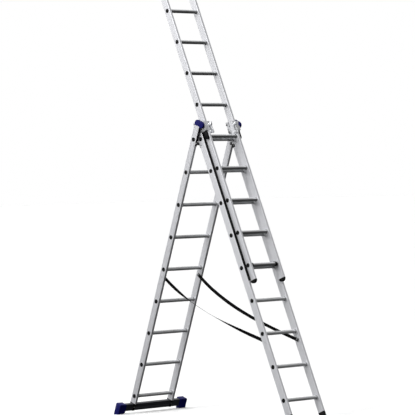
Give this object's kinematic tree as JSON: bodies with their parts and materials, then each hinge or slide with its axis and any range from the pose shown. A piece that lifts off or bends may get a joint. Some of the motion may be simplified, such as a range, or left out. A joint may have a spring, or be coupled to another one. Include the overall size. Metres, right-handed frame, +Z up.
{
  "type": "extension ladder",
  "caption": "Aluminium three-section combination ladder, opened as a step stand with a hinged stay, a stabiliser bar, webbing straps and a sliding upper section.",
  "frame": {"origin": "on the floor, in the middle of the opened ladder's footprint", "axes": "+Z up, +X towards the climbing side of the base section, Y along the rungs"},
  "size_m": [1.8838, 0.762, 3.4473],
  "materials": {
    "rail_aluminium": "satin extruded aluminium with fine lines along the rail",
    "ribbed_aluminium": "ribbed extruded aluminium",
    "webbing": "woven black webbing",
    "dark_bar": "satin graphite paint",
    "blue_plastic": "dark blue moulded plastic",
    "zinc_steel": "zinc plated steel",
    "black_steel": "black painted steel",
    "rubber": "black rubber",
    "black_plastic": "black moulded plastic"
  },
  "bodies": {
    "base": {"base_bolts": "zinc_steel", "base_foot_left": "rubber", "base_foot_right": "rubber", "base_hinge_plates": "black_steel", "base_rail_left": "rail_aluminium", "base_rail_right": "rail_aluminium", "base_rung_1": "ribbed_aluminium", "base_rung_2": "ribbed_aluminium", "base_rung_3": "ribbed_aluminium", "base_rung_4": "ribbed_aluminium", "base_rung_5": "ribbed_aluminium", "base_rung_6": "ribbed_aluminium", "base_rung_7": "ribbed_aluminium", "base_rung_8": "ribbed_aluminium", "base_rung_9": "ribbed_aluminium", "base_rung_plugs": "black_plastic", "guide_bracket_left": "zinc_steel", "guide_bracket_right": "zinc_steel", "hinge_pins": "zinc_steel", "strap_left": "webbing", "strap_right": "webbing"},
    "stay": {"stabiliser_bar": "dark_bar", "stabiliser_bolts": "zinc_steel", "stabiliser_brackets": "black_plastic", "stabiliser_foot_left": "blue_plastic", "stabiliser_foot_right": "blue_plastic", "stay_bolts": "zinc_steel", "stay_hinge_plates": "black_steel", "stay_rail_left": "rail_aluminium", "stay_rail_right": "rail_aluminium", "stay_rung_1": "ribbed_aluminium", "stay_rung_2": "ribbed_aluminium", "stay_rung_3": "ribbed_aluminium", "stay_rung_4": "ribbed_aluminium", "stay_rung_5": "ribbed_aluminium", "stay_rung_6": "ribbed_aluminium", "stay_rung_7": "ribbed_aluminium", "stay_rung_8": "ribbed_aluminium", "stay_rung_9": "ribbed_aluminium", "stay_rung_plugs": "black_plastic", "stay_top_caps": "blue_plastic"},
    "upper": {"rung_hook_left": "black_plastic", "rung_hook_right": "black_plastic", "slide_strips": "black_plastic", "upper_end_caps": "black_plastic", "upper_rail_left": "rail_aluminium", "upper_rail_right": "rail_aluminium", "upper_rung_1": "ribbed_aluminium", "upper_rung_2": "ribbed_aluminium", "upper_rung_3": "ribbed_aluminium", "upper_rung_4": "ribbed_aluminium", "upper_rung_5": "ribbed_aluminium", "upper_rung_6": "ribbed_aluminium", "upper_rung_7": "ribbed_aluminium", "upper_rung_8": "ribbed_aluminium", "upper_rung_9": "ribbed_aluminium", "upper_rung_plugs": "black_plastic", "upper_top_caps": "black_plastic"},
    "latch_left": {"latch_lever_left": "zinc_steel"},
    "latch_right": {"latch_lever_right": "zinc_steel"}
  },
  "joints": [
    {"name": "stay_fold", "type": "hinge", "parent": "base", "child": "stay", "pos_m": [-0.04711, 0, 2.20466], "axis": [0, -1, 0], "range_deg": [0, 43], "deforming": ["strap_left", "strap_right"]},
    {"name": "upper_slide", "type": "slide", "parent": "base", "child": "upper", "axis": [-0.3827, 0, 0.9239], "range_m": [-1.12, 0.56]},
    {"name": "latch_left_swing", "type": "hinge", "parent": "base", "child": "latch_left", "pos_m": [0.04103, 0, 2.36163], "axis": [0, -1, 0], "range_deg": [0, 60]},
    {"name": "latch_right_swing", "type": "hinge", "parent": "base", "child": "latch_right", "pos_m": [0.04103, 0, 2.36163], "axis": [0, -1, 0], "range_deg": [0, 60]}
  ]
}
